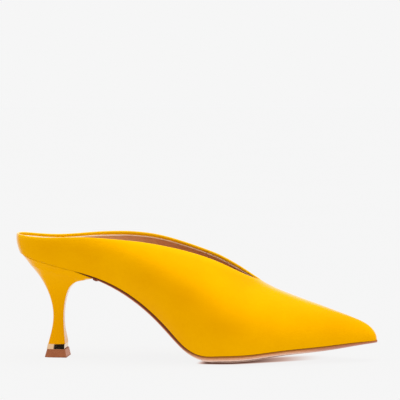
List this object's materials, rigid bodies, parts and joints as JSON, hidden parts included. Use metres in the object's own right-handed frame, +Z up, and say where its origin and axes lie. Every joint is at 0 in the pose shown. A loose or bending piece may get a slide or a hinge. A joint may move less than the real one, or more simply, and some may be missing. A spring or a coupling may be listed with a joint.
{
  "type": "heeled mule",
  "caption": "Pointed-toe leather mule for the right foot, with a V throat, a low closed heel cup, a thin sole and a slender flared heel on a metal band and top piece.",
  "frame": {"origin": "on the floor, under the middle of the shoe's box", "axes": "+X to the toe, +Y to the inner (medial) side of the right foot, +Z up"},
  "size_m": [0.2519, 0.0796, 0.087],
  "materials": {
    "upper_leather": "smooth yellow leather with a soft sheen",
    "sole_leather": "tan sole leather with a brown stained edge",
    "sock_leather": "matt tan lining leather",
    "heel_leather": "smooth yellow leather stretched over the heel block",
    "band_metal": "polished pale gold",
    "top_piece_rubber": "matt tan rubber"
  },
  "bodies": {
    "root": {"upper": "upper_leather", "outsole": "sole_leather", "insole": "sock_leather", "heel": "heel_leather", "heel_band": "band_metal", "top_piece": "top_piece_rubber"}
  },
  "joints": []
}
